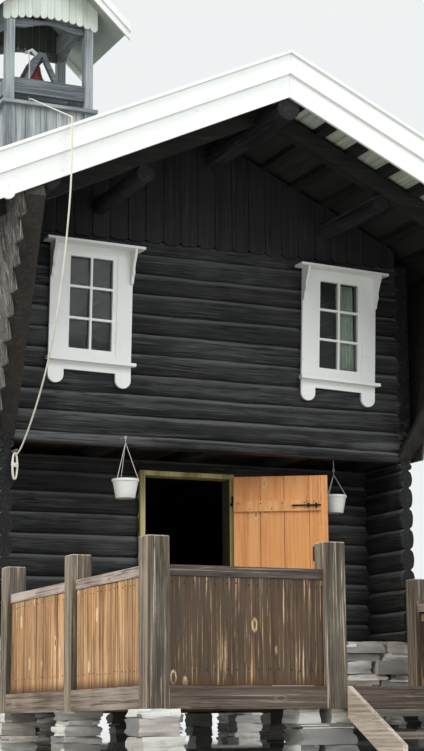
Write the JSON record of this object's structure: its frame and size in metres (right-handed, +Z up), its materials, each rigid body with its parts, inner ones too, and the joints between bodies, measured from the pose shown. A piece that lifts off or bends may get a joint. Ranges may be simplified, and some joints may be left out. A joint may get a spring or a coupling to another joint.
{
  "type": "stabbur storehouse",
  "caption": "Two-storey log storehouse on stone piers with a jettied upper floor, wide eaves, a fenced platform with a stair and a bell tower on the roof.",
  "frame": {"origin": "on the ground, under the middle of the whole object with its platform and stair", "axes": "+X to the right along the front gable, +Y from the stair into the house, +Z up"},
  "size_m": [5.86, 12.36, 10.2567],
  "materials": {
    "stone": "dry laid, rough",
    "weathered_logs": "tarred logs worn grey on their crests",
    "tarred_wood": "tarred, matt",
    "plain_wood": "bare and aged",
    "soffit_wood": "grey green, aged",
    "slate": "slates",
    "white_wood": "white paint, worn",
    "glass": "clear panes",
    "frame_wood": "olive yellow paint",
    "door_wood": "orange brown oil",
    "iron": "black, forged",
    "platform_wood": "weathered grey brown",
    "fence_wood": "oiled, weathered",
    "tower_wood": "grey paint, worn",
    "bell_paint": "maroon paint",
    "rope": "natural fibre",
    "pot_metal": "white enamel, worn"
  },
  "bodies": {
    "building": {"bell_rope": "rope", "bell_trestles": "tarred_wood", "door_frame": "frame_wood", "door_pintles": "iron", "door_steps": "plain_wood", "doorway_logs": "weathered_logs", "eave_struts": "tarred_wood", "floor_boards": "plain_wood", "floor_joists": "plain_wood", "gable_boards": "tarred_wood", "handrails": "fence_wood", "hanging_pots": "pot_metal", "lower_back_wall": "weathered_logs", "lower_bargeboards": "white_wood", "lower_front_wall": "weathered_logs", "lower_side_walls": "weathered_logs", "platform_beams": "platform_wood", "platform_fence": "fence_wood", "platform_floor": "platform_wood", "platform_joists": "platform_wood", "platform_posts": "platform_wood", "pot_hooks": "pot_metal", "rafters": "tarred_wood", "roof_battens": "soffit_wood", "roof_boards": "soffit_wood", "roof_logs": "tarred_wood", "roof_slates": "slate", "rope_hank": "rope", "rope_peg": "plain_wood", "side_boarding": "tarred_wood", "stair_stringers": "platform_wood", "stair_treads": "platform_wood", "stone_piers": "stone", "tower_bargeboards": "white_wood", "tower_crossbars": "tower_wood", "tower_floor": "tower_wood", "tower_gable_boards": "white_wood", "tower_plates": "tower_wood", "tower_posts": "tower_wood", "tower_roof": "slate", "tower_skirt": "tower_wood", "upper_back_wall": "tarred_wood", "upper_bargeboards": "white_wood", "upper_front_wall": "tarred_wood", "upper_side_walls": "tarred_wood", "window_casings": "white_wood", "window_glass": "glass", "window_sashes": "white_wood"},
    "door": {"door_leaf": "door_wood", "door_irons": "iron"},
    "bolt": {"door_bolt": "iron"},
    "bell": {"bell": "bell_paint", "bell_yoke": "tarred_wood", "bell_lever": "white_wood"}
  },
  "joints": [
    {"name": "door_hinge", "type": "hinge", "parent": "building", "child": "door", "pos_m": [0.484, -0.99, 1.98], "axis": [0, 0, 1], "range_deg": [-150, 5]},
    {"name": "door_bolt_slide", "type": "slide", "parent": "door", "child": "bolt", "axis": [0.866, -0.5, 0], "range_m": [0, 0.07]},
    {"name": "bell_swing", "type": "hinge", "parent": "building", "child": "bell", "pos_m": [0, 4.105, 8.96], "axis": [0, 1, 0], "range_deg": [-35, 35]}
  ]
}
